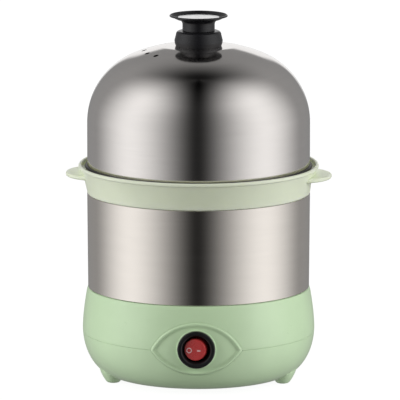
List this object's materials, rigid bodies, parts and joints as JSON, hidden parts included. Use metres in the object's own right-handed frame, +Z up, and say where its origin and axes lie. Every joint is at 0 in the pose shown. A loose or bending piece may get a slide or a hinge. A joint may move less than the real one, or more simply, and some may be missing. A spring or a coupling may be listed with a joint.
{
  "type": "two-tier egg boiler",
  "caption": "Two-tier countertop egg boiler: round plastic base with rocker switch and heating dish, steel ring, eared egg tray and steel dome lid with a turned knob.",
  "frame": {"origin": "on the floor, under the axis of the round body", "axes": "+Z up along the axis of the round body; -Y towards the front, where the rocker switch is"},
  "size_m": [0.1798, 0.162, 0.248],
  "materials": {
    "green_plastic": "satin moulded",
    "tray_plastic": "translucent moulded",
    "brushed_steel": "brushed",
    "polished_steel": "polished",
    "black_plastic": "satin",
    "red_plastic": "gloss",
    "white_plastic": "plain",
    "silicone": "soft",
    "black_rubber": "soft",
    "zinc_steel": "zinc plated",
    "brass": "plain",
    "aluminium": "plain",
    "wire_brown": "insulated",
    "wire_blue": "insulated"
  },
  "bodies": {
    "base": {"base_lower_shell": "green_plastic", "base_upper_shell": "green_plastic", "switch_panel": "green_plastic", "switch_housing": "black_plastic", "switch_terminal_1": "brass", "switch_terminal_2": "brass", "heating_dish": "polished_steel", "dish_seal": "silicone", "dish_retainer": "zinc_steel", "dish_nut_1": "zinc_steel", "dish_nut_2": "zinc_steel", "dish_nut_3": "zinc_steel", "heating_element": "aluminium", "element_pin_1": "zinc_steel", "element_pin_2": "zinc_steel", "thermostat": "white_plastic", "thermostat_bracket": "zinc_steel", "bracket_nut_1": "zinc_steel", "bracket_nut_2": "zinc_steel", "thermal_fuse": "white_plastic", "case_screw_1": "zinc_steel", "case_screw_2": "zinc_steel", "case_screw_3": "zinc_steel", "case_screw_4": "zinc_steel", "cord_gland": "black_rubber", "cord_clamp": "white_plastic", "clamp_screw_1": "zinc_steel", "clamp_screw_2": "zinc_steel", "terminal_block": "white_plastic", "wire_live": "wire_brown", "wire_switched": "wire_brown", "wire_fuse_in": "wire_brown", "wire_fuse_out": "wire_brown", "wire_neutral": "wire_blue"},
    "rocker": {"switch_rocker": "red_plastic"},
    "ring": {"steel_ring": "brushed_steel"},
    "rack": {"egg_rack": "tray_plastic"},
    "tray": {"egg_tray": "tray_plastic"},
    "lid": {"dome_lid": "brushed_steel", "knob_collar": "black_plastic", "knob_grip": "black_plastic", "knob_insert": "polished_steel", "knob_screw": "zinc_steel", "knob_washer": "zinc_steel"}
  },
  "joints": [
    {"name": "switch_rock", "type": "hinge", "parent": "base", "child": "rocker", "pos_m": [0, -0.0747, 0.0338], "axis": [0, 0, 1], "range_deg": [0, 24]},
    {"name": "ring_lift", "type": "slide", "parent": "base", "child": "ring", "axis": [0, 0, 1], "range_m": [0, 0.08]},
    {"name": "rack_lift", "type": "slide", "parent": "base", "child": "rack", "axis": [0, 0, 1], "range_m": [0, 0.034]},
    {"name": "tray_lift", "type": "slide", "parent": "ring", "child": "tray", "axis": [0, 0, 1], "range_m": [0, 0.08]},
    {"name": "lid_lift", "type": "slide", "parent": "tray", "child": "lid", "axis": [0, 0, 1], "range_m": [0, 0.12]}
  ]
}
